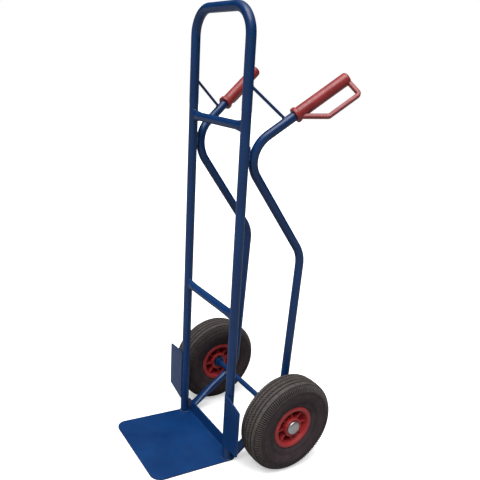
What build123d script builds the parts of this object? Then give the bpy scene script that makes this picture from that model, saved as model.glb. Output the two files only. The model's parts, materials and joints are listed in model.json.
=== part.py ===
from build123d import *
from math import cos, radians, sin, tan
import os

# Hand truck with two pneumatic wheels. Millimetres, +Z up, +X to the truck's right-hand wheel,
# +Y to the rear. The origin is the middle of the footprint, on the floor.

# ---- overall ----
wheel_diameter = 260
tyre_width = 85
wheel_x = 190.5                    # middle plane of a wheel
wheel_y = 108.5
overall_height = 1152
lean = 6.2                         # degrees that the uprights lean forward of vertical

# ---- tubes, bars and rods ----
frame_tube_d = 23.5
handle_tube_d = 22.5
tube_wall = 1.8
crossbar_d = 21.5
crossbar_end_width = 15            # the crushed end of a crossbar
crossbar_end_height = 29
crossbar_flare = 38                # from an upright's axis to where the bar is still round
crossbar_crush = 10.75             # from an upright's axis to where the end is fully crushed
cope_depth = 8                     # how far the crushed end runs on before it is coped
crossbar_heights = {"upper_crossbar": 888, "middle_crossbar": 424}
upright_x = 122
upright_foot_y = -20
upright_run_out = 20               # made past the floor, then cut off at the toe plate
top_bend_radius = 62
brace_rod_d = 7
brace_rod_top_z = 982
brace_rod_to_grip = 21             # the rod's lower end, along the handle tube from the grip

# ---- toe plate ----
plate_width = 266
plate_front_y = -238.5
plate_thickness = 4
plate_corner_radius = 28
flange_front_y = -4
flange_height = 36
flange_bend_radius = 4

# ---- handle tubes: corners of the centreline, right-hand side ----
contact_corner = Vector(121, -112.6, 829)
contact_bend_radius = 72
lower_corner = Vector(upright_x, 113, 582)
lower_bend_radius = 80
crook_corner = Vector(upright_x, 142.5, 132)
crook_bend_radius = 70
foot_end = Vector(upright_x, -8, 6)
foot_round_end = 0.5               # share of the last run that stays round
foot_crush_width = 31
foot_crush_height = 10
foot_trim = 200                    # side of the block that cuts the foot flush with the flange

# ---- grips ----
grip_start = Vector(153, -8.5, 927)
grip_length = 153
grip_d = 30
grip_collar_d = 37
grip_collar_length = 9
grip_end_wall = 6
guard_reach = 49                   # grip axis to the middle of the guard band
guard_outward = 49                 # degrees of the guard's plane from straight down to outward
guard_root = (12, 10)              # where the slanted run starts: along the grip, and out from its axis
guard_slant_end = 60               # where the slanted run of the guard meets the straight run
guard_band = 10
guard_width = 12
guard_bend_radius = 6
guard_end_inset = 6                # from the grip's end to the middle of the band

# ---- axle and wheel ----
axle_d = 15
axle_chamfer = 0.8
axle_gap = 0.05
side_gap = 0.4
collar_d = 27
collar_length = 8
washer_d = 30
washer_length = 2
cap_d = 38
cap_height = 8
cap_wall = 1.2
cap_edge = 1.5                     # straight part of the cap's side
hub_inner_a = -28                  # hub faces, from the wheel's middle plane, outboard positive
hub_outer_a = 30
bearing_d = 35
bearing_length = 11
rim_radius = 60
rim_half_width = 33
hub_r = 26
hub_bore_r = 11
sleeve_r = 10
bead_a = 28                        # inner face of a rim flange, from the wheel's middle plane
bead_r = 50.8
bead_seat_a = 19                   # inner edge of the tyre's bead
flange_round = 2
flange_depth = 12
well_r = 45
well_a = 10                        # half width of the rim's well
shoulder_a = 14                    # where the slope out of the well ends
barrel_r = 41
web_a = 8                          # half thickness of the web
valve_window = 4                   # the web is open between this rib and the next, at the valve
rib_count = 8
rib_thickness = 3
rib_top_a = 26
first_rib_angle = 10               # degrees from +Y, turning towards +Z
valve_angle = 212.5
valve_a = 12.5
valve_d = 6
valve_tip_r = 31
valve_root_r = 52.8
valve_cap_length = 8
valve_cap_step = 0.6
tube_rubber = 1.5
tube_middle_r = 84.5
tube_half_width = 28
tube_half_height = 33.5

# ---- wheel guard plates ----
guard_plate_thickness = 3
guard_plate_x = (121, 191)
guard_plate_inner_z = (53, 208)
guard_plate_outer_z = (70, 204)
guard_plate_corner_radius = 6

# ---- values worked out ----
wheel_radius = wheel_diameter / 2
frame_r = frame_tube_d / 2
handle_r = handle_tube_d / 2
slope = cos(radians(lean))
top_s = (overall_height - frame_r) / slope
flange_rear_y = flange_front_y + plate_thickness
handle_axis = (grip_start - contact_corner).normalized()
grip_end = grip_start + handle_axis * grip_length
cap_sleeve_a = hub_outer_a + side_gap + washer_length
axle_end_x = wheel_x + hub_outer_a + side_gap + cap_height - 2 * cap_wall
tyre_half = tyre_width / 2

# Plane of the two uprights: X across, local Y up along them, normal to the front.
frame_plane = Plane(
    origin=(0, upright_foot_y, 0),
    x_dir=(1, 0, 0),
    z_dir=(0, -cos(radians(lean)), -sin(radians(lean))),
)
os.makedirs("parts", exist_ok=True)


def upright_y(z):
    """Y of the uprights' axis at height z."""
    return upright_foot_y - tan(radians(lean)) * z


def save(part, label):
    """Label a finished piece and write its STEP file."""
    part.label = label
    export_step(part, f"parts/{label}.step")


def mirrored(part, side):
    """The right-hand piece itself, or its left-hand twin."""
    return part if side == "right" else part.mirror(Plane.YZ)


# ---- main frame: one tube bent into an upside-down U, standing on the toe plate ----
with BuildPart() as frame_solid:
    with BuildLine(frame_plane) as frame_line:
        FilletPolyline(
            (-upright_x, -upright_run_out), (-upright_x, top_s),
            (upright_x, top_s), (upright_x, -upright_run_out),
            radius=top_bend_radius,
        )
    with BuildSketch(Plane(frame_line.line @ 0, z_dir=frame_line.line % 0)):
        Circle(frame_r)
    sweep()

with BuildPart() as main_frame:
    add(frame_solid.part)
    with BuildSketch(Plane(frame_line.line @ 0, z_dir=frame_line.line % 0)):
        Circle(frame_r - tube_wall)
    sweep(path=frame_line.line, mode=Mode.SUBTRACT)
    split(bisect_by=Plane.XY.offset(plate_thickness), keep=Keep.TOP)
save(main_frame.part, "main_frame")


# ---- crossbars: straight tubes with crushed ends, coped to the uprights ----
def crossbar(height, label):
    """A tube between the uprights at the given height."""
    middle = Vector(0, upright_y(height), height)
    round_x = upright_x - crossbar_flare
    crushed_x = upright_x - crossbar_crush

    def section(x, inset):
        """Round section at the bar's middle part, oval section at its ends."""
        with BuildSketch(Plane(middle + Vector(x, 0, 0), x_dir=(0, 0, 1), z_dir=(1, 0, 0))) as face:
            if abs(x) > round_x:
                Ellipse(crossbar_end_height / 2 - inset, crossbar_end_width / 2 - inset)
            else:
                Circle(crossbar_d / 2 - inset)
        return face.sketch

    with BuildPart() as bar:
        for inset, mode in ((0, Mode.ADD), (tube_wall, Mode.SUBTRACT)):
            extrude(section(-round_x, inset), amount=2 * round_x, mode=mode)
            for end in (-1, 1):
                loft([section(end * round_x, inset), section(end * crushed_x, inset)], mode=mode)
                extrude(section(end * crushed_x, inset), amount=end * cope_depth, mode=mode)
        add(frame_solid.part, mode=Mode.SUBTRACT)
    save(bar.part, label)


for bar_label, bar_height in crossbar_heights.items():
    crossbar(bar_height, bar_label)

# ---- toe plate: flat sheet with its rear edge folded up behind the uprights ----
with BuildPart() as toe_plate:
    with BuildSketch(Plane.YZ.offset(-plate_width / 2)) as plate_section:
        with BuildLine():
            FilletPolyline(
                (plate_front_y, plate_thickness),
                (flange_front_y, plate_thickness),
                (flange_front_y, flange_height),
                radius=flange_bend_radius,
            )
            Line((flange_front_y, flange_height), (flange_rear_y, flange_height))
            FilletPolyline(
                (flange_rear_y, flange_height), (flange_rear_y, 0), (plate_front_y, 0),
                radius=flange_bend_radius + plate_thickness,
            )
            Line((plate_front_y, 0), (plate_front_y, plate_thickness))
        make_face()
    extrude(amount=plate_width)
    front_corners = toe_plate.edges().filter_by(Axis.Z).group_by(Axis.Y)[0]
    fillet(front_corners, plate_corner_radius)
save(toe_plate.part, "toe_plate")

# ---- handle tube: grip, bend against the upright, lower bend, crook for the axle, crushed foot ----
foot_run = foot_end - crook_corner
foot_direction = foot_run.normalized()
crush_start = crook_corner + foot_run * foot_round_end
with BuildPart() as handle_solid:
    with BuildLine() as handle_line:
        FilletPolyline(
            grip_end - handle_axis * grip_end_wall, contact_corner, lower_corner, crook_corner,
            crush_start,
            radius=[contact_bend_radius, lower_bend_radius, crook_bend_radius],
        )
    with BuildSketch(Plane(handle_line.line @ 0, z_dir=handle_line.line % 0)):
        Circle(handle_r)
    sweep()

foot_start_plane = Plane(crush_start, x_dir=(1, 0, 0), z_dir=foot_direction)
foot_end_plane = Plane(foot_end, x_dir=(1, 0, 0), z_dir=foot_direction)
with BuildPart() as foot_solid:
    with BuildSketch(foot_start_plane):
        Circle(handle_r)
    with BuildSketch(foot_end_plane):
        Ellipse(foot_crush_width / 2, foot_crush_height / 2)
    loft()

with BuildPart() as handle_tube:
    add(handle_solid.part)
    with BuildSketch(Plane(handle_line.line @ 0, z_dir=handle_line.line % 0)):
        Circle(handle_r - tube_wall)
    sweep(path=handle_line.line, mode=Mode.SUBTRACT)
    add(foot_solid.part)
    with BuildSketch(foot_start_plane):
        Circle(handle_r - tube_wall)
    with BuildSketch(foot_end_plane):
        Ellipse(foot_crush_width / 2 - tube_wall, foot_crush_height / 2 - tube_wall)
    loft(mode=Mode.SUBTRACT)
    add(frame_solid.part, mode=Mode.SUBTRACT)
    with Locations((upright_x, flange_rear_y - foot_trim / 2, 0)):
        Box(foot_trim, foot_trim, foot_trim, mode=Mode.SUBTRACT)

# ---- brace rod: from the back of an upright down to the handle tube under its grip ----
rod_top = Vector(upright_x, upright_y(brace_rod_top_z), brace_rod_top_z)
rod_bottom = grip_start - handle_axis * brace_rod_to_grip
with BuildPart() as brace_rod:
    with BuildLine() as rod_line:
        Line(rod_top, rod_bottom)
    with BuildSketch(Plane(rod_top, z_dir=(rod_bottom - rod_top).normalized())):
        Circle(brace_rod_d / 2)
    sweep(path=rod_line.line)
    add(frame_solid.part, mode=Mode.SUBTRACT)
    add(handle_solid.part, mode=Mode.SUBTRACT)

# ---- grip: moulded sleeve with a collar and a knuckle guard ----
outward = (Vector(1, 0, 0) - handle_axis * handle_axis.X).normalized()
downward = handle_axis.cross(outward)
if downward.Z > 0:
    downward = downward * -1
guard_direction = outward * sin(radians(guard_outward)) + downward * cos(radians(guard_outward))
guard_plane = Plane(grip_start, x_dir=handle_axis, z_dir=handle_axis.cross(guard_direction))
grip_tip = grip_length - grip_end_wall
with BuildPart() as grip:
    with BuildSketch(guard_plane) as grip_section:
        with BuildLine():
            Polyline(
                (0, handle_r), (0, grip_collar_d / 2), (grip_collar_length, grip_collar_d / 2),
                (grip_collar_length, grip_d / 2), (grip_tip, grip_d / 2),
            )
            RadiusArc(
                (grip_tip, grip_d / 2), (grip_length, grip_d / 2 - grip_end_wall), grip_end_wall,
            )
            Polyline(
                (grip_length, grip_d / 2 - grip_end_wall), (grip_length, 0), (grip_tip, 0),
                (grip_tip, handle_r), (0, handle_r),
            )
        make_face()
    revolve(axis=Axis(grip_start, handle_axis))
    with BuildSketch(guard_plane) as guard_outline:
        with BuildLine():
            FilletPolyline(
                guard_root,
                (guard_slant_end, guard_reach),
                (grip_length - guard_end_inset, guard_reach),
                (grip_length - guard_end_inset, 0),
                radius=guard_bend_radius,
            )
        trace(line_width=guard_band)
    extrude(amount=guard_width / 2, both=True)
    with BuildSketch(Plane(grip_start, z_dir=handle_axis)):
        Circle(handle_r)
    extrude(amount=grip_tip, mode=Mode.SUBTRACT)

# ---- axle: a plain bar that lies in the crooks of the handle tubes ----
with BuildPart() as axle:
    with BuildSketch(Plane.YZ.offset(-axle_end_x)):
        with Locations((wheel_y, wheel_radius)):
            Circle(axle_d / 2)
    extrude(amount=2 * axle_end_x)
    chamfer(axle.edges().filter_by(GeomType.CIRCLE), axle_chamfer)
save(axle.part, "axle")

# ---- wheel guard: a plate on the front of an upright, ahead of the tyre ----
# One stamping serves both sides; the right-hand one is turned end for end.
def wheel_guard(side):
    """The guard plate of one side, made on the right and mirrored for the left."""
    inner_z = guard_plate_inner_z
    outer_z = guard_plate_outer_z
    if side == "right":
        outer_z = [sum(inner_z) - z for z in reversed(outer_z)]
    inner_x, outer_x = guard_plate_x
    with BuildPart() as plate:
        with BuildSketch(frame_plane.offset(frame_r)) as outline:
            with BuildLine():
                Polyline(
                    (inner_x, inner_z[0] / slope), (outer_x, outer_z[0] / slope),
                    (outer_x, outer_z[1] / slope), (inner_x, inner_z[1] / slope),
                    close=True,
                )
            make_face()
            fillet(outline.vertices().group_by(Axis.X)[-1], guard_plate_corner_radius)
        extrude(amount=guard_plate_thickness)
    return plate.part


# ---- wheel: profiles in a plane through its axis, local X outboard and local Y outward ----
axle_axis = Axis((0, wheel_y, wheel_radius), (1, 0, 0))
wheel_plane = Plane((wheel_x, wheel_y, wheel_radius), x_dir=(1, 0, 0), z_dir=(0, -1, 0))
valve_plane = Plane(
    (wheel_x + valve_a, wheel_y, wheel_radius),
    x_dir=(1, 0, 0),
    z_dir=(0, cos(radians(valve_angle)), sin(radians(valve_angle))),
)


def ring(a_start, a_end, r_inner, r_outer, edge=0.6):
    """A plain ring about the axle between two distances from the wheel's middle plane."""
    with BuildPart() as part:
        with BuildSketch(wheel_plane):
            with Locations(((a_start + a_end) / 2, (r_inner + r_outer) / 2)):
                Rectangle(abs(a_end - a_start), r_outer - r_inner)
        revolve(axis=axle_axis)
        chamfer(part.edges().filter_by(GeomType.CIRCLE), edge)
    return part.part


with BuildPart() as tyre:
    with BuildSketch(wheel_plane):
        with BuildLine():
            tread = TangentArc(
                (0, wheel_radius), (tyre_half * 0.62, wheel_radius - 3), tangent=(1, 0),
            )
            outer = Spline(
                tread @ 1, (tyre_half * 0.89, wheel_radius - 13), (tyre_half - 0.1, wheel_radius - 33),
                (tyre_half * 0.87, wheel_radius - 55), (tyre_half * 0.72, rim_radius + 1),
                tangents=(tread % 1, (-0.3, -1)),
            )
            Polyline(
                outer @ 1, (bead_a, rim_radius - 1.2), (bead_a, bead_r), (bead_seat_a, bead_r),
                (bead_seat_a, bead_r + 6),
            )
            inner = Spline(
                (bead_seat_a, bead_r + 6), (tyre_half - 12, wheel_radius - 53),
                (tyre_half - 7, wheel_radius - 34), (tyre_half * 0.75, wheel_radius - 17),
                (0, wheel_radius - 10),
                tangents=((0.4, 1), (-1, 0)),
            )
            Line(inner @ 1, tread @ 0)
        make_face()
        mirror(about=Plane.YZ)
    revolve(axis=axle_axis)

# Half of the rim's outline, from the web's mid-plane at the hub, round the flange, to the well.
flange_a = rim_half_width - flange_round
rim_face = [
    (0, hub_r), (web_a, hub_r), (web_a, barrel_r), (well_a, barrel_r),
    (shoulder_a, barrel_r + 4), (flange_a, rim_radius - flange_depth),
]
rim_seat = [
    (flange_a, rim_radius), (bead_a + 1.5, rim_radius), (bead_a, rim_radius - 1.5), (bead_a, bead_r),
    (shoulder_a, bead_r), (well_a, well_r), (0, well_r), (0, hub_r),
]
with BuildPart() as plain_rim:
    with BuildSketch(wheel_plane):
        with BuildLine():
            Polyline(*rim_face)
            ThreePointArc(rim_face[-1], (rim_half_width, rim_radius - flange_depth / 2), rim_seat[0])
            Polyline(*rim_seat)
        make_face()
        mirror(about=Plane.YZ)
        with BuildLine():
            Polyline(
                (hub_inner_a, hub_r), (hub_outer_a, hub_r), (hub_outer_a, bearing_d / 2),
                (hub_outer_a - bearing_length, bearing_d / 2),
                (hub_outer_a - bearing_length, hub_bore_r),
                (hub_inner_a + bearing_length, hub_bore_r),
                (hub_inner_a + bearing_length, bearing_d / 2), (hub_inner_a, bearing_d / 2),
                close=True,
            )
        make_face()
    revolve(axis=axle_axis)

with BuildPart() as rib:
    with BuildSketch(wheel_plane):
        with BuildLine():
            Polyline(
                (0, hub_r - 1), (rib_top_a, hub_r - 1), (rib_top_a, barrel_r + 6.5),
                (shoulder_a, barrel_r + 5), (well_a, barrel_r + 1), (0, barrel_r + 1), close=True,
            )
        make_face()
        mirror(about=Plane.YZ)
    extrude(amount=rib_thickness / 2, both=True)

with BuildPart() as window:
    with BuildSketch(wheel_plane):
        with Locations((0, (hub_r + barrel_r) / 2)):
            Rectangle(2 * web_a, barrel_r - hub_r)
    revolve(axis=axle_axis, revolution_arc=360 / rib_count)

with BuildPart() as rim:
    add(plain_rim.part)
    window_angle = first_rib_angle - 90 + valve_window * 360 / rib_count
    add(window.part.rotate(axle_axis, window_angle), mode=Mode.SUBTRACT)
    for index in range(rib_count):
        add(rib.part.rotate(axle_axis, first_rib_angle - 90 + index * 360 / rib_count))
    with BuildSketch(valve_plane.offset(valve_tip_r)):
        Circle(valve_d / 2)
    extrude(amount=bead_r - valve_tip_r + 2, mode=Mode.SUBTRACT)

with BuildPart() as inner_tube:
    with BuildSketch(wheel_plane):
        for inset, mode in ((0, Mode.ADD), (tube_rubber, Mode.SUBTRACT)):
            with Locations((0, tube_middle_r)):
                Ellipse(tube_half_width - inset, tube_half_height - inset, mode=mode)
    revolve(axis=axle_axis)

with BuildPart() as valve_stem:
    with BuildSketch(valve_plane.offset(valve_tip_r + valve_cap_length)):
        Circle(valve_d / 2)
    extrude(amount=valve_root_r - valve_tip_r - valve_cap_length)
    with BuildSketch(valve_plane.offset(valve_tip_r)):
        Circle(valve_d / 2 - valve_cap_step)
    extrude(amount=valve_cap_length)

wheel_pieces = {
    "tyre": tyre.part,
    "inner_tube": inner_tube.part,
    "valve_stem": valve_stem.part,
    "rim": rim.part,
    "hub_sleeve": ring(
        hub_inner_a + bearing_length, hub_outer_a - bearing_length, axle_d / 2 + axle_gap, sleeve_r,
    ),
    "inner_bearing": ring(
        hub_inner_a, hub_inner_a + bearing_length, axle_d / 2 + axle_gap, bearing_d / 2,
    ),
    "outer_bearing": ring(
        hub_outer_a - bearing_length, hub_outer_a, axle_d / 2 + axle_gap, bearing_d / 2,
    ),
}

# ---- what holds a wheel on the axle: inner collar, outer washer, pressed cap ----
cap_base_a = hub_outer_a + side_gap
cap_tip_a = cap_base_a + cap_height
cap_inside_a = cap_tip_a - cap_wall
with BuildPart() as hub_cap:
    for inset, mode in ((0, Mode.ADD), (cap_wall, Mode.SUBTRACT)):
        with BuildSketch(wheel_plane):
            with BuildLine():
                rim_point = (cap_base_a + cap_edge, cap_d / 2 - inset)
                tip_point = (cap_tip_a - inset, 0)
                TangentArc(tip_point, rim_point, tangent=(0, 1))
                Polyline(rim_point, (cap_base_a, cap_d / 2 - inset), (cap_base_a, 0), tip_point)
            make_face()
        revolve(axis=axle_axis, mode=mode)
    add(ring(cap_sleeve_a, cap_inside_a, axle_d / 2, axle_d / 2 + cap_wall, edge=0.2))

collar_a = hub_inner_a - side_gap
side_pieces = {
    "handle_tube": handle_tube.part,
    "brace_rod": brace_rod.part,
    "grip": grip.part,
    "axle_collar": ring(collar_a - collar_length, collar_a, axle_d / 2, collar_d / 2),
    "axle_washer": ring(cap_base_a, cap_base_a + washer_length, axle_d / 2, washer_d / 2, edge=0.4),
    "hub_cap": hub_cap.part,
}

for side in ("left", "right"):
    save(mirrored(wheel_guard(side), side), f"{side}_wheel_guard")
    for piece_name, piece in (side_pieces | wheel_pieces).items():
        save(mirrored(piece, side), f"{side}_{piece_name}")
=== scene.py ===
import json
from math import cos, pi, radians, sin, sqrt, tan

import bmesh
import bpy
import numpy as np
from mathutils import Matrix, Vector


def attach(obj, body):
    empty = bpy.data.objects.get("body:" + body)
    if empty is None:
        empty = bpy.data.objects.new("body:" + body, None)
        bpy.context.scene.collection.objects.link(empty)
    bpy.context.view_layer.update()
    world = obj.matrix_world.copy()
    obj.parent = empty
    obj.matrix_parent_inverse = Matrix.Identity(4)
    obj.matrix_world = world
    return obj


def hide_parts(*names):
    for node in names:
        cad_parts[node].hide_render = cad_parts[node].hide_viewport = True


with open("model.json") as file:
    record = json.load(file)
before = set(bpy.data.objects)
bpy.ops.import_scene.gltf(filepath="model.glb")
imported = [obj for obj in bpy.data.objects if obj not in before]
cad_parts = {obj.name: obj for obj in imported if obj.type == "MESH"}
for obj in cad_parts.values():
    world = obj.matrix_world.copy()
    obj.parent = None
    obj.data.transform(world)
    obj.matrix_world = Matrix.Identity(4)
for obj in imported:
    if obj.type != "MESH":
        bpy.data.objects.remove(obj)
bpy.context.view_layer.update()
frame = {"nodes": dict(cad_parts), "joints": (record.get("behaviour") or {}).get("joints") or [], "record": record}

# The hand truck's looks. Positions are metres in the row frame; shapes that are worked out in their
# own local frame (a wheel's, a grip's) are in millimetres and placed by a matrix.
MM = 0.001
SIDES = {"left": -1, "right": 1}
WHEEL = {j["child"]: Vector(j["pos_m"]) for j in frame["joints"]}
AXLE_Y, AXLE_Z = WHEEL["right_wheel"].yz

# Driving dimensions of the frame, as in the part's source.
LEAN = radians(6.2)
UPRIGHT_X = 122 * MM
UPRIGHT_FOOT_Y = -20 * MM
FRAME_R = 11.75 * MM
HANDLE_R = 11.25 * MM
CROSSBARS = {"upper": 888 * MM, "middle": 424 * MM}
GRIP_START = Vector((153, -8.5, 927)) * MM
CONTACT_CORNER = Vector((121, -112.6, 829)) * MM
GRIP_LENGTH = 153
HANDLE_AXIS = (GRIP_START - CONTACT_CORNER).normalized()
GUARD_OUTWARD = radians(49)
BRACE_ROD_TOP_Z = 982 * MM
BRACE_ROD_TO_GRIP = 21 * MM
TO_CROOK = Vector((0, 0.758, -0.653))                # from the axle to the nearest point of a handle tube


# ---------------------------------------------------------------- materials
class Surface:
    """A procedural material: one Principled BSDF and the textures that drive it."""

    def __init__(self, name, roughness, metallic=0.0, coat=0.0, specular=0.5):
        self.material = bpy.data.materials.new(name)
        self.material.use_nodes = True
        self.tree = self.material.node_tree
        self.shader = self.tree.nodes["Principled BSDF"]
        settings = {
            "Roughness": roughness,
            "Metallic": metallic,
            "Coat Weight": coat,
            "Coat Roughness": 0.22,
            "Specular IOR Level": specular,
        }
        for socket, value in settings.items():
            self.shader.inputs[socket].default_value = value
        self.place = self.node("ShaderNodeTexCoord").outputs["Object"]

    def node(self, kind, inputs=None, **settings):
        """A node with its settings made, and its inputs set or linked."""
        made = self.tree.nodes.new(kind)
        for key, value in settings.items():
            setattr(made, key, value)
        for key, value in (inputs or {}).items():
            if isinstance(value, bpy.types.NodeSocket):
                self.tree.links.new(value, made.inputs[key])
            else:
                made.inputs[key].default_value = value
        return made

    def noise(self, scale, detail=2.0):
        """Noise in object coordinates, scale in features per metre."""
        return self.node(
            "ShaderNodeTexNoise", {"Vector": self.place, "Scale": scale, "Detail": detail}
        ).outputs["Fac"]

    def ramp(self, factor, *stops):
        """Colour ramp over (position, colour) stops."""
        ramp = self.node("ShaderNodeValToRGB", {"Fac": factor})
        elements = ramp.color_ramp.elements
        while len(elements) < len(stops):
            elements.new(0.5)
        for element, (position, colour) in zip(elements, stops):
            element.position = position
            element.color = (*colour, 1.0)
        return ramp.outputs["Color"]

    def spread(self, factor, low, high):
        """A noise factor spread between two values."""
        return self.node(
            "ShaderNodeMapRange",
            {"Value": factor, "From Min": 0.3, "From Max": 0.7, "To Min": low, "To Max": high},
        ).outputs["Result"]

    def mix(self, factor, first, second):
        """Colour mixed from first to second."""
        mixed = self.node("ShaderNodeMix", data_type="RGBA")
        self.tree.links.new(factor, mixed.inputs["Factor"])
        self.tree.links.new(first, mixed.inputs[6])
        self.tree.links.new(second, mixed.inputs[7])
        return mixed.outputs[2]

    def colour(self, value):
        self.tree.links.new(value, self.shader.inputs["Base Color"])

    def roughness(self, value):
        self.tree.links.new(value, self.shader.inputs["Roughness"])

    def bump(self, height, strength, distance):
        """Bump of a height in metres times a strength."""
        made = self.node(
            "ShaderNodeBump", {"Height": height, "Strength": strength, "Distance": distance}
        )
        self.tree.links.new(made.outputs["Normal"], self.shader.inputs["Normal"])


def blue_paint():
    """Gloss enamel: faint colour drift, uneven gloss and orange peel."""
    s = Surface("blue_paint", roughness=0.4, coat=0.2, specular=0.4)
    s.colour(s.ramp(s.noise(9, 4), (0.35, (0.001, 0.028, 0.120)), (0.65, (0.002, 0.041, 0.158))))
    s.roughness(s.spread(s.noise(55, 3), 0.34, 0.46))
    s.bump(s.noise(300), 0.05, 0.0001)
    return s.material


def weld_paint():
    """The same enamel over a weld bead, a little thicker and rougher."""
    s = Surface("weld_paint", roughness=0.3, coat=0.4)
    s.colour(s.ramp(s.noise(60, 4), (0.35, (0.002, 0.028, 0.110)), (0.65, (0.008, 0.048, 0.165))))
    s.roughness(s.spread(s.noise(300, 3), 0.22, 0.42))
    s.bump(s.noise(900, 3), 0.35, 0.0004)
    return s.material


def red_plastic(name, dull, bright, roughness):
    """Moulded plastic: slow drift of colour with a fine matt grain."""
    s = Surface(name, roughness=roughness)
    s.colour(s.ramp(s.noise(22, 4), (0.35, dull), (0.65, bright)))
    s.roughness(s.spread(s.noise(140, 3), roughness - 0.06, roughness + 0.08))
    s.bump(s.noise(1200), 0.04, 0.0001)
    return s.material


def tyre_rubber():
    """Rubber; the mesh's tread attribute is 1 on worn tread, 0 on the side and -1 down in a groove, where the
    colour is darkened to near black as painted shade.
    """
    s = Surface("tyre_rubber", roughness=0.75, specular=0.35)
    tread = s.node("ShaderNodeAttribute", attribute_name="tread").outputs["Fac"]
    side = s.ramp(s.noise(35, 5), (0.35, (0.040, 0.027, 0.031)), (0.68, (0.058, 0.039, 0.043)))
    worn = s.ramp(s.noise(80, 5), (0.35, (0.056, 0.048, 0.044)), (0.65, (0.084, 0.072, 0.065)))
    # Painted shade: where the tread value falls below 0 (grooves, serration recesses, shoulder groove, side
    # rings), the colour is blended towards near black.
    groove_shade = s.ramp(s.noise(60, 3), (0.35, (0.006, 0.005, 0.005)), (0.65, (0.010, 0.009, 0.009)))
    groove = s.node("ShaderNodeMapRange", {"Value": tread, "From Min": 0.0, "From Max": -1.0})
    s.colour(s.mix(groove.outputs["Result"], s.mix(tread, side, worn), groove_shade))
    s.roughness(s.spread(s.noise(90, 4), 0.62, 0.85))
    s.bump(s.noise(1100, 4), 0.3, 0.0003)
    return s.material


def black_rubber(name, roughness):
    """Plain soft rubber, for the inner tube and the valve."""
    s = Surface(name, roughness=roughness)
    s.colour(s.ramp(s.noise(60, 3), (0.35, (0.016, 0.015, 0.016)), (0.65, (0.028, 0.026, 0.027))))
    s.bump(s.noise(1300), 0.2, 0.0002)
    return s.material


def metal(name, dark, light, low, high):
    """Plated steel with fine uneven polish."""
    s = Surface(name, roughness=low, metallic=1.0)
    s.colour(s.ramp(s.noise(70, 4), (0.3, dark), (0.7, light)))
    s.roughness(s.spread(s.noise(260, 4), low, high))
    s.bump(s.noise(1800, 2), 0.1, 0.0001)
    return s.material


MATERIALS = {
    "blue_paint": blue_paint(),
    "red_grip": red_plastic("red_grip", (0.27, 0.026, 0.028), (0.34, 0.036, 0.036), 0.38),
    "red_rim": red_plastic("red_rim", (0.38, 0.026, 0.030), (0.46, 0.037, 0.039), 0.42),
    "tyre_rubber": tyre_rubber(),
    "tube_rubber": black_rubber("tube_rubber", 0.7),
    "valve_rubber": black_rubber("valve_rubber", 0.5),
    "zinc_steel": metal("zinc_steel", (0.50, 0.50, 0.51), (0.60, 0.60, 0.61), 0.28, 0.42),
    "cap_chrome": metal("cap_chrome", (0.58, 0.56, 0.58), (0.68, 0.66, 0.67), 0.38, 0.45),
}
WELD_PAINT = weld_paint()
BEARING_SHIELD = metal("bearing_shield", (0.10, 0.10, 0.11), (0.16, 0.16, 0.17), 0.35, 0.50)


# ---------------------------------------------------------------- mesh helpers
def smooth_line(points, spacing):
    """Points about one spacing apart on a smooth curve through the given ones."""
    points = [Vector(p) for p in points]
    padded = [points[0] * 2 - points[1], *points, points[-1] * 2 - points[-2]]
    line = []
    for before, start, end, after in zip(padded, padded[1:], padded[2:], padded[3:]):
        count = max(1, round((end - start).length / spacing))
        for step in range(count):
            t = step / count
            line.append(
                0.5 * (
                    2 * start
                    + (end - before) * t
                    + (2 * before - 5 * start + 4 * end - after) * t**2
                    + (3 * start - before - 3 * end + after) * t**3
                )
            )
    return line + [points[-1]]


def rounded_path(points, radius, steps=7):
    """A path whose inner corners are arcs of one radius."""
    points = [Vector(p) for p in points]
    path = [points[0]]
    for before, corner, after in zip(points, points[1:], points[2:]):
        back, on = (before - corner).normalized(), (after - corner).normalized()
        half = back.angle(on) / 2
        centre = corner + (back + on).normalized() * radius / sin(half)
        start = corner + back * radius / tan(half) - centre
        end = corner + on * radius / tan(half) - centre
        path += [centre + start.slerp(end, k / steps).normalized() * radius for k in range(steps + 1)]
    return path + [points[-1]]


def grid_faces(rows, columns, close_rows=True, close_columns=True):
    """Quads over a grid of points held row by row."""
    faces = []
    for i in range(rows if close_rows else rows - 1):
        next_row = ((i + 1) % rows) * columns
        for k in range(columns if close_columns else columns - 1):
            k_next = (k + 1) % columns
            faces.append((i * columns + k, i * columns + k_next, next_row + k_next, next_row + k))
    return faces


def end_faces(rows, columns):
    """The first and the last row of a grid of points, each as one face."""
    return [tuple(range(columns)), tuple(range((rows - 1) * columns, rows * columns))]


def at_angles(loop, angles):
    """A loop of (along, out) points, repeated at each angle about the local X axis."""
    loop = np.array([tuple(p)[:2] for p in loop], float)
    points = np.empty((len(angles), len(loop), 3))
    points[..., 0] = loop[:, 0]
    points[..., 1] = np.outer(np.cos(angles), loop[:, 1])
    points[..., 2] = np.outer(np.sin(angles), loop[:, 1])
    return points.reshape(-1, 3)


def turned(loop, steps=144):
    """A closed loop of (along, out) points turned all the way about the local X axis."""
    angles = np.arange(steps) * 2 * pi / steps
    return at_angles(loop, angles), grid_faces(steps, len(loop))


def turned_sector(loop, start, end, steps=10):
    """A closed loop of (along, out) points turned from one angle to another, with its ends closed."""
    points = at_angles(loop, np.linspace(start, end, steps))
    faces = grid_faces(steps, len(loop), close_rows=False) + end_faces(steps, len(loop))
    return points, faces


def slab(outline, angle, thickness):
    """A plate with an outline of (along, out) points, standing at an angle about the local X axis."""
    out, across = Vector((0, cos(angle), sin(angle))), Vector((0, -sin(angle), cos(angle)))
    count = len(outline)
    points = [
        Vector((a, 0, 0)) + out * r + across * k * thickness / 2
        for k in (-1, 1)
        for a, r in outline
    ]
    return np.array(points), grid_faces(2, count, close_rows=False) + end_faces(2, count)


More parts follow.
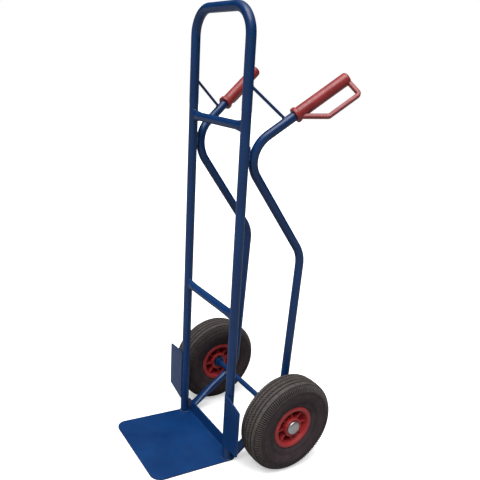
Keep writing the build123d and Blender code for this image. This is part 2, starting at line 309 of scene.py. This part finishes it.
def swept(path, section, side, closed=False):
    """A section of (side, up) offsets carried along a path; side is its first sideways direction."""
    count = len(path)
    points = []
    for k, here in enumerate(path):
        if closed:
            along = path[(k + 1) % count] - path[k - 1]
        else:
            along = path[min(k + 1, count - 1)] - path[max(k - 1, 0)]
        along = along.normalized()
        side = (side - along * side.dot(along)).normalized()
        up = along.cross(side)
        ring = section(k) if callable(section) else section
        points += [here + side * s + up * u for s, u in ring]
        size = len(ring)
    faces = grid_faces(count, size, close_rows=closed)
    if not closed:
        faces += end_faces(count, size)
    return np.array(points), faces


def rounded_rectangle(width, height, radius, steps=3):
    """Outline of a rectangle with rounded corners, about its middle."""
    outline = []
    for index, (sx, sy) in enumerate(((1, 1), (-1, 1), (-1, -1), (1, -1))):
        centre = (sx * (width / 2 - radius), sy * (height / 2 - radius))
        for k in range(steps + 1):
            angle = (index + k / steps) * pi / 2
            outline.append((centre[0] + radius * cos(angle), centre[1] + radius * sin(angle)))
    return outline


def add_piece(name, parts, place, slot, body, nodes=(), material=None, bevel=0.0, attribute=None):
    """A piece made of closed parts of (points, faces), placed by a matrix and riding on a body."""
    points, faces = [], []
    for part_points, part_faces in parts:
        start = len(points)
        points += part_points.tolist()
        faces += [tuple(start + k for k in face) for face in part_faces]
    mesh = bpy.data.meshes.new(name)
    mesh.from_pydata(points, [], faces)
    if attribute is not None:
        mesh.attributes.new("tread", "FLOAT", "POINT").data.foreach_set("value", attribute)
    shaped = bmesh.new()
    shaped.from_mesh(mesh)
    bmesh.ops.transform(shaped, matrix=place, verts=shaped.verts)
    bmesh.ops.remove_doubles(shaped, verts=shaped.verts, dist=1e-7)
    bmesh.ops.recalc_face_normals(shaped, faces=shaped.faces)
    shaped.to_mesh(mesh)
    shaped.free()
    mesh.polygons.foreach_set("use_smooth", [True] * len(mesh.polygons))
    mesh.set_sharp_from_angle(angle=radians(40))
    mesh.materials.append(material or MATERIALS[slot])
    piece = bpy.data.objects.new(name, mesh)
    bpy.context.scene.collection.objects.link(piece)
    if bevel:
        edge = piece.modifiers.new("edges", "BEVEL")
        edge.width = bevel
        edge.segments = 2
        edge.limit_method = "ANGLE"
        edge.angle_limit = radians(35)
    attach(piece, body)
    if nodes:
        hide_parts(*nodes)
    return piece


def wheel_place(side):
    """From a wheel's own frame, X outboard in millimetres, to the row frame."""
    return Matrix.Translation(WHEEL[f"{side}_wheel"]) @ Matrix.Diagonal((SIDES[side] * MM, MM, MM, 1))


# ---------------------------------------------------------------- tyre
TYRE_STEPS = 1080
SERRATIONS = 135                   # round the tyre's shoulder
TREAD_WAVES = 108
TREAD_SWING = 1.6                  # how far a zigzag groove swings to each side
TREAD_GROOVES = (-17.5, -6.5, 6.5, 17.5)
GROOVE_HALF = 1.4
GROOVE_DEPTH, SHOULDER_DEPTH, SERRATION_DEPTH, RING_DEPTH = 2.8, 1.2, 2.2, 0.7
TREAD_HALF = 29.0
SERRATED = (31.5, 49.0)
SIDE_RINGS = (53.0, 57.5, 83.0, 88.0)


def soft_band(position, centre, half_width, edge=0.8):
    """1 within a band and 0 outside it, with soft edges."""
    t = np.clip((np.abs(position - centre) - half_width) / edge, 0, 1)
    return 1 - t * t * (3 - 2 * t)


def tyre_mesh():
    """The tyre in its wheel's frame, and each point's tread: 1 where worn, 0 on the side, -1 in a groove, where
    the negative values mark painted shade.
    """
    half = [(30.6, 61), (37.0, 75), (42.3, 97), (37.8, 117), (26.4, 127), (13.2, 129.4), (0, 130)]
    outside = smooth_line(half + [(-a, r) for a, r in reversed(half[:-1])], 1.15)
    crown = min(range(len(outside)), key=lambda k: abs(outside[k].x))
    lengths = [0.0]
    for before, here in zip(outside, outside[1:]):
        lengths.append(lengths[-1] + (here - before).length)
    along = np.array(lengths) - lengths[crown]
    line = np.array([tuple(p) for p in outside])
    tangent = np.gradient(line, axis=0)
    tangent /= np.linalg.norm(tangent, axis=1)[:, None]
    inward = np.stack((tangent[:, 1], -tangent[:, 0]), axis=1)
    if inward[crown, 1] > 0:
        inward = -inward

    angle = np.arange(TYRE_STEPS)[:, None] * 2 * pi / TYRE_STEPS
    s = along[None, :]
    zigzag = TREAD_SWING * (2 / pi) * np.arcsin(np.sin(angle * TREAD_WAVES))
    groove = np.zeros((TYRE_STEPS, len(line)))
    for index, centre in enumerate(TREAD_GROOVES):
        swing = zigzag if index in (1, 2) else 0.3 * zigzag
        groove = np.maximum(groove, soft_band(s - swing, centre, GROOVE_HALF))
    shoulder = soft_band(np.abs(s), TREAD_HALF + 1.2, 0.7)
    serrated = soft_band(np.abs(s), sum(SERRATED) / 2, (SERRATED[1] - SERRATED[0]) / 2)
    teeth = np.clip(0.5 + 0.9 * np.cos(angle * SERRATIONS), 0, 1)
    rings = sum(soft_band(np.abs(s), ring, 0.7, 1.0) for ring in SIDE_RINGS)
    depth = GROOVE_DEPTH * groove + SHOULDER_DEPTH * shoulder
    depth += SERRATION_DEPTH * serrated * teeth + RING_DEPTH * rings
    tread = soft_band(s, 0, TREAD_HALF, 1.2) + serrated * (1 - teeth)
    # Painted shade: the grooves, the serration recesses, the shoulder groove and, at half weight, the side rings
    # go below 0, to be darkened in the rubber.
    tread -= 2 * groove + serrated * teeth + shoulder + 0.5 * rings

    inside = smooth_line(
        [(-19, 56.8), (-30.5, 77), (-35.5, 96), (-31.9, 113), (0, 120),
         (31.9, 113), (35.5, 96), (30.5, 77), (19, 56.8)], 5,
    )
    under = [(-28, 58.8), (-28, 50.8), (-19, 50.8)] + [tuple(p) for p in inside]
    under += [(19, 50.8), (28, 50.8), (28, 58.8)]
    loop_a = np.empty((TYRE_STEPS, len(line) + len(under)))
    loop_r = np.empty_like(loop_a)
    loop_a[:, : len(line)] = line[:, 0] + inward[:, 0] * depth
    loop_r[:, : len(line)] = line[:, 1] + inward[:, 1] * depth
    loop_a[:, len(line):] = [a for a, r in under]
    loop_r[:, len(line):] = [r for a, r in under]
    points = np.stack((loop_a, loop_r * np.cos(angle), loop_r * np.sin(angle)), axis=-1)
    # Worn tread above 0; painted shade in the grooves and recesses below 0.
    worn = np.zeros(loop_a.shape, np.float32)
    worn[:, : len(line)] = tread
    return (points.reshape(-1, 3), grid_faces(*loop_a.shape)), worn.ravel()


# ---------------------------------------------------------------- rim, bearings, valve, cap
HUB_INNER, HUB_OUTER = -28.0, 30.0
RIB_ANGLES = [radians(10 + 45 * k) for k in range(8)]
VALVE_ANGLE = radians(212.5)
VALVE_SECTOR = 4                   # the opening between ribs 4 and 5 is where the valve is
VALVE_A = 12.5


def rim_parts():
    """Moulded rim: flanged barrel, hub, webs between eight ribs, open where the valve is."""
    face = smooth_line([(31, 60), (32.5, 57.8), (33, 54), (32.5, 50.4), (30.6, 48)], 1.5)
    face = [tuple(p) for p in face]
    outboard = [(29.5, 60)] + face + [(14.5, 45.4), (10, 41.2)]
    seat = [(28, 58.5), (28, 50.8), (14, 50.8), (10, 45)]
    barrel = outboard + [(-a, r) for a, r in reversed(outboard)]
    barrel += [(-a, r) for a, r in seat] + list(reversed(seat))
    lip = 32.4
    hub = [
        (lip - 0.8, 26), (lip, 25.2), (lip, 23), (lip - 0.6, 22.4), (HUB_OUTER - 0.2, 22),
        (HUB_OUTER - 0.2, 17.6), (HUB_OUTER - 11, 17.6), (HUB_OUTER - 11, 11),
        (HUB_INNER + 11, 11), (HUB_INNER + 11, 17.6), (HUB_INNER + 0.2, 17.6),
        (HUB_INNER + 0.2, 22), (HUB_INNER - 1, 22.6), (HUB_INNER - 1.6, 23.2),
        (HUB_INNER - 1.6, 25.2), (HUB_INNER - 0.8, 26), (-6, 27), (6, 27),
    ]
    rib = [(-25, 25), (25, 25), (24, 36), (26, 46.8), (14, 44), (10, 43), (-10, 43), (-14, 44),
           (-26, 46.8), (-24, 36)]
    web = [(-8, 26), (8, 26), (8, 43), (-8, 43)]
    parts = [turned(barrel, 180), turned(hub, 144)]
    for index, angle in enumerate(RIB_ANGLES):
        parts.append(slab(rib, angle, 3.0))
        if index != VALVE_SECTOR:
            parts.append(turned_sector(web, angle, angle + radians(45)))
    return parts


def bearing_parts(inner, outer):
    """A bearing's races with the shield set back between them on both faces."""
    loop = [
        (outer - 0.3, 17.5), (outer, 17.2), (outer, 15.3), (outer - 0.7, 15.0), (outer - 0.7, 10.4),
        (outer, 10.1), (outer, 7.9), (outer - 0.3, 7.56), (inner + 0.3, 7.56), (inner, 7.9),
        (inner, 10.1), (inner + 0.7, 10.4), (inner + 0.7, 15.0), (inner, 15.3), (inner, 17.2),
        (inner + 0.3, 17.5),
    ]
    return [turned(loop, 96)]


def cap_parts():
    """Pressed cap: a low dome with a rolled edge."""
    outside = [tuple(p) for p in smooth_line(
        [(38.4, 0), (38.1, 7), (37.1, 13), (35.6, 17), (33.6, 18.8), (31.8, 19)], 1.2)]
    inside = [(30.45, 19), (30.45, 17.8), (33.4, 17.4), (36.0, 12), (37.1, 0)]
    return [turned(outside + inside, 96)]


def valve_parts():
    """Rubber stem with a fluted cap, pointing at the axle; local X runs outward from the axle."""
    stem = [(39, 0), (39, 2.6), (40, 3), (46, 3), (52.8, 3), (52.8, 0)]
    flutes, rows = 16, [(31.0, 1.6), (31.5, 2.3), (32.2, 2.4), (38.4, 2.4), (39.0, 2.2)]
    points = []
    steps = flutes * 4
    for along, radius in rows:
        for k in range(steps):
            angle = k * 2 * pi / steps
            r = radius * (1 - 0.07 * (0.5 + 0.5 * cos(angle * flutes)))
            points.append((along, r * cos(angle), r * sin(angle)))
    faces = grid_faces(len(rows), steps, close_rows=False) + end_faces(len(rows), steps)
    return [turned(stem, 32), (np.array(points), faces)]


def valve_place(side):
    """From the valve's frame to the row frame."""
    out = Vector((0, cos(VALVE_ANGLE), sin(VALVE_ANGLE)))
    across = Vector((0, -sin(VALVE_ANGLE), cos(VALVE_ANGLE)))
    turn = Matrix((out, across, Vector((1, 0, 0)))).transposed().to_4x4()
    return wheel_place(side) @ Matrix.Translation((VALVE_A, 0, 0)) @ turn


# Per-point tread values: worn tread, and painted shade in the grooves and recesses.
tyre_part, tyre_wear_and_shade = tyre_mesh()
for side in SIDES:
    body, place = f"{side}_wheel", wheel_place(side)
    add_piece(f"{side}_tyre_tread", [tyre_part], place, "tyre_rubber", body, [f"{side}_tyre"],
              attribute=tyre_wear_and_shade)
    add_piece(f"{side}_rim_ribbed", rim_parts(), place, "red_rim", body, [f"{side}_rim"],
              bevel=0.6 * MM)
    add_piece(f"{side}_valve", valve_parts(), valve_place(side), "valve_rubber", body,
              [f"{side}_valve_stem"])
    for which, inner, outer in (("inner", HUB_INNER, HUB_INNER + 11), ("outer", HUB_OUTER - 11, HUB_OUTER)):
        add_piece(f"{side}_{which}_bearing_shielded", bearing_parts(inner, outer), place, "zinc_steel",
                  body, [f"{side}_{which}_bearing"], material=BEARING_SHIELD)
    add_piece(f"{side}_hub_cap_domed", cap_parts(), place, "cap_chrome", "truck", [f"{side}_hub_cap"])


# ---------------------------------------------------------------- grips
def grip_place(side):
    """From the grip's frame, X along it and Y towards its guard in millimetres, to the row frame."""
    outward = (Vector((1, 0, 0)) - HANDLE_AXIS * HANDLE_AXIS.x).normalized()
    downward = HANDLE_AXIS.cross(outward)
    if downward.z > 0:
        downward = -downward
    guard = outward * sin(GUARD_OUTWARD) + downward * cos(GUARD_OUTWARD)
    turn = Matrix((HANDLE_AXIS, guard, HANDLE_AXIS.cross(guard))).transposed().to_4x4()
    mirror = Matrix.Diagonal((SIDES[side], 1, 1, 1))
    return mirror @ Matrix.Translation(GRIP_START) @ turn @ Matrix.Scale(MM, 4)


def grip_parts():
    """Moulded sleeve with a rounded collar, and the knuckle guard as one bent band."""
    length = GRIP_LENGTH
    sleeve = [(0, 11.3), (0, 17.3), (0.4, 18.1), (1.2, 18.5), (7.6, 18.5), (8.6, 18.1), (9.2, 17.2),
              (9.8, 15.6), (11, 15)]
    sleeve += [(20, 15), (75, 14.8), (length - 8, 15)]
    sleeve += [(length - 6 + 6 * sin(t), 9 + 6 * cos(t)) for t in (0.2, 0.5, 0.8, 1.1, 1.4)]
    sleeve += [(length, 8), (length, 0), (length - 6, 0), (length - 6, 11.3)]
    path = rounded_path([(12, 10, 0), (60, 49, 0), (length - 6, 49, 0), (length - 6, 11.4, 0)], 6, 9)
    band = rounded_rectangle(10, 12, 2.4, 4)
    return [turned(sleeve, 96), swept(path, band, Vector((0, 1, 0)))]


for side in SIDES:
    add_piece(f"{side}_grip_moulded", grip_parts(), grip_place(side), "red_grip", "truck",
              [f"{side}_grip"])


# ---------------------------------------------------------------- weld beads
WELD_R = {
    "crossbar": 1.5 * MM, "base": 1.9 * MM, "contact": 1.9 * MM, "rod": 1.2 * MM, "foot": 1.5 * MM,
    "seat": 1.6 * MM, "guard": 1.5 * MM,
}
BAR_END = (8.0 * MM, 15.0 * MM)                      # half width and half height of a crushed crossbar
FOOT = (15.4 * MM, 6.4 * MM)                         # half width and half height of a tube's foot
FOOT_HEIGHT, FOOT_PROUD = 12.7 * MM, 0.4 * MM
SEAT = (5.6 * MM, 4.6 * MM)                          # half width and half height of the bead at the axle
SEAT_DEPTH = 7.9 * MM                                # of that bead, from the axle's middle
SEAT_SIDES, SEAT_ENDS = 0.75 * MM, 0.8 * MM          # how far its sides and ends lie deeper and nearer
ROD_BEAD_R = 3.8 * MM                                # round the brace rod
CONTACT_HEIGHTS = (812, 820, 829, 838, 846)          # of the beads on an upright's back, at a handle tube
GUARD_HEIGHTS = {"lower": (58, 64, 70, 76), "upper": (184, 190, 196, 202)}
UP = Vector((0, -sin(LEAN), cos(LEAN)))              # along the uprights
FRONT = Vector((0, -cos(LEAN), -sin(LEAN)))          # normal of the uprights' plane, to the front


def upright(side, height):
    """Point on the axis of an upright at a height."""
    return Vector((SIDES[side] * UPRIGHT_X, UPRIGHT_FOOT_Y - tan(LEAN) * height, height))


def weld(name, path, radius, closed=False):
    """A rippled bead along a path, under paint."""
    path = smooth_line(path + path[:1] if closed else path, 0.0007)
    path = path[:-1] if closed else path
    ripple = [(cos(k * pi / 4), sin(k * pi / 4)) for k in range(8)]

    def section(k):
        size = radius * (1 + 0.13 * sin(k * 2.1) + 0.06 * sin(k * 0.37))
        if not closed:
            size *= min(1, 0.25 + 0.25 * min(k, len(path) - 1 - k))
        return [(size * u, size * v) for u, v in ripple]

    part = swept(path, section, FRONT, closed)
    return add_piece(name, [part], Matrix.Identity(4), "blue_paint", "truck", material=WELD_PAINT)


def around(count, place):
    """Points of a closed loop, from a function of an angle."""
    return [place(k * 2 * pi / count) for k in range(count)]


for side, sign in SIDES.items():
    for bar, height in CROSSBARS.items():
        def bar_end(t):
            out = BAR_END[0] * cos(t)
            inset = sqrt(FRAME_R**2 - out**2)
            axis = upright(side, height)
            return axis - Vector((sign * inset, 0, 0)) + FRONT * out + UP * BAR_END[1] * sin(t)

        weld(f"{side}_{bar}_crossbar_weld", around(24, bar_end), WELD_R["crossbar"], closed=True)

    def upright_base(t):
        base = upright(side, 5.2 * MM)
        return base + Vector((cos(t), sin(t), 0)) * (FRAME_R + 0.4 * MM)

    weld(f"{side}_upright_base_weld", around(24, upright_base), WELD_R["base"], closed=True)
    for edge in (-1, 1):
        groove = Vector((edge * 5.6 * MM, 0, 0)) - FRONT * (FRAME_R - 0.6 * MM)
        line = [upright(side, z * MM) + groove for z in CONTACT_HEIGHTS]
        where = "inner" if edge * sign < 0 else "outer"
        weld(f"{side}_handle_contact_weld_{where}", line, WELD_R["contact"])


def saddle(start, direction, radius, axis_point, axis, tube_r):
    """Where a rod of a radius, leaving a tube along a direction, comes out of its surface."""
    first = direction.cross(axis).normalized()
    second = direction.cross(first)

    def place(t):
        at = start + first * radius * cos(t) + second * radius * sin(t) - axis_point
        at -= axis * at.dot(axis)
        run = direction - axis * direction.dot(axis)
        b, c = at.dot(run), at.length_squared - tube_r**2
        reach = (sqrt(b * b - run.length_squared * c) - b) / run.length_squared
        return start + first * radius * cos(t) + second * radius * sin(t) + direction * reach

    return place


for side, sign in SIDES.items():
    flip = Vector((sign, 1, 1))
    rod_top = upright(side, BRACE_ROD_TOP_Z)
    tube_axis = HANDLE_AXIS * flip
    tube_point = GRIP_START * flip
    rod_bottom = tube_point - tube_axis * BRACE_ROD_TO_GRIP
    rod = (rod_bottom - rod_top).normalized()
    weld(f"{side}_brace_rod_top_weld", around(16, saddle(rod_top, rod, ROD_BEAD_R, rod_top, UP, FRAME_R)),
         WELD_R["rod"], closed=True)
    weld(f"{side}_brace_rod_bottom_weld",
         around(16, saddle(rod_bottom, -rod, ROD_BEAD_R, tube_point, tube_axis, HANDLE_R)),
         WELD_R["rod"], closed=True)

    def foot_edge(t):
        across, up = FOOT[0] * cos(t), FOOT[1] * sin(t)
        return Vector((sign * UPRIGHT_X + across, FOOT_PROUD, FOOT_HEIGHT + up))

    weld(f"{side}_foot_weld", around(24, foot_edge), WELD_R["foot"], closed=True)

    def axle_seat(t):
        across, up_tube = SEAT[0] * cos(t), SEAT[1] * sin(t)
        depth = SEAT_DEPTH + SEAT_SIDES * cos(t)**2 - SEAT_ENDS * sin(t)**2
        axle = Vector((sign * UPRIGHT_X + across, AXLE_Y, AXLE_Z))
        return axle + TO_CROOK * depth + Vector((0, -TO_CROOK.z, TO_CROOK.y)) * up_tube

    weld(f"{side}_axle_seat_weld", around(20, axle_seat), WELD_R["seat"], closed=True)
    for which, heights in GUARD_HEIGHTS.items():
        edge = FRONT * (FRAME_R + 0.5 * MM) - Vector((sign * 1.8 * MM, 0, 0))
        line = [upright(side, z * MM) + edge for z in heights]
        weld(f"{side}_guard_{which}_weld", line, WELD_R["guard"])


# ---------------------------------------------------------------- CAD nodes that are shown as they are
slots = {part["node"]: part["material_slot"] for part in frame["record"]["subparts"]}
for name, node in frame["nodes"].items():
    node.data.materials.clear()
    node.data.materials.append(MATERIALS[slots[name]])

# ---------------------------------------------------------------- floor, light and camera
FLOOR_RADIUS, FLOOR_DROP = 40.0, 0.0005
FLOOR_BOUNCE = 0.30                # how much light the floor throws back at the object
FLOOR_SHOWN, FLOOR_GLOW = 0.93, 0.5    # its colour and its glow as the camera sees them
HORIZON_LIGHT, ZENITH_LIGHT = 0.01, 1.0
SKY_START = 0.6                    # height, as a share of straight up, where the overhead light begins
SUN_FROM = (0.25, -0.45, 1.0)
SUN_LIGHT, SUN_WIDTH = 3.6, 50
floor_mesh = bpy.data.meshes.new("floor")
disc = bmesh.new()
bmesh.ops.create_circle(disc, cap_ends=True, segments=96, radius=FLOOR_RADIUS)
disc.to_mesh(floor_mesh)
disc.free()
floor = bpy.data.objects.new("floor", floor_mesh)
floor.location.z = -FLOOR_DROP
bpy.context.scene.collection.objects.link(floor)
floor_surface = Surface("floor", roughness=0.9, specular=0.1)
camera_ray = floor_surface.node("ShaderNodeLightPath").outputs["Is Camera Ray"]
floor_surface.colour(floor_surface.ramp(
    camera_ray, (0.0, (FLOOR_BOUNCE,) * 3), (1.0, (FLOOR_SHOWN,) * 3)
))
floor_surface.tree.links.new(floor_surface.ramp(
    camera_ray, (0.0, (0.0, 0.0, 0.0)), (1.0, (FLOOR_GLOW,) * 3)
), floor_surface.shader.inputs["Emission Color"])
floor_surface.shader.inputs["Emission Strength"].default_value = 1.0
floor_mesh.materials.append(floor_surface.material)


def studio_world():
    """White to the camera; as a light, bright overhead and darker towards the horizon."""
    world = bpy.data.worlds.new("studio")
    bpy.context.scene.world = world
    world.use_nodes = True
    nodes, link = world.node_tree.nodes, world.node_tree.links.new
    background = nodes["Background"]
    height = nodes.new("ShaderNodeSeparateXYZ")
    link(nodes.new("ShaderNodeTexCoord").outputs["Generated"], height.inputs[0])
    sky = nodes.new("ShaderNodeMapRange")
    sky.inputs["From Min"].default_value = SKY_START
    sky.inputs["To Min"].default_value = HORIZON_LIGHT
    sky.inputs["To Max"].default_value = ZENITH_LIGHT
    link(height.outputs["Z"], sky.inputs["Value"])
    shown = nodes.new("ShaderNodeMix")
    link(nodes.new("ShaderNodeLightPath").outputs["Is Camera Ray"], shown.inputs["Factor"])
    link(sky.outputs["Result"], shown.inputs[2])
    shown.inputs[3].default_value = 1.0
    background.inputs["Color"].default_value = (1.0, 1.0, 1.0, 1.0)
    link(shown.outputs[0], background.inputs["Strength"])


studio_world()
sun = bpy.data.lights.new("softbox_sun", "SUN")
sun.energy = SUN_LIGHT
sun.angle = radians(SUN_WIDTH)
sun_object = bpy.data.objects.new("softbox_sun", sun)
sun_object.rotation_mode = "QUATERNION"
sun_object.rotation_quaternion = (-Vector(SUN_FROM)).to_track_quat("-Z", "Y")
bpy.context.scene.collection.objects.link(sun_object)

CAMERA_PLACE = Vector((1.1558, -0.8228, 0.9497))
CAMERA_AZIMUTH, CAMERA_ELEVATION, CAMERA_ROLL = radians(54.48), radians(14.36), radians(8.75)
CAMERA_LENS = 41.33
back = Vector((
    sin(CAMERA_AZIMUTH) * cos(CAMERA_ELEVATION),
    -cos(CAMERA_AZIMUTH) * cos(CAMERA_ELEVATION),
    sin(CAMERA_ELEVATION),
))
level = Vector((0, 0, 1)).cross(back).normalized()
above = back.cross(level)
right = level * cos(CAMERA_ROLL) + above * sin(CAMERA_ROLL)
top = above * cos(CAMERA_ROLL) - level * sin(CAMERA_ROLL)
camera_data = bpy.data.cameras.new("camera")
camera_data.sensor_width = 36.0
camera_data.lens = CAMERA_LENS
camera = bpy.data.objects.new("camera", camera_data)
camera.matrix_world = Matrix.Translation(CAMERA_PLACE) @ Matrix((right, top, back)).transposed().to_4x4()
bpy.context.scene.collection.objects.link(camera)
bpy.context.scene.camera = camera
bpy.context.scene.view_settings.view_transform = "Standard"
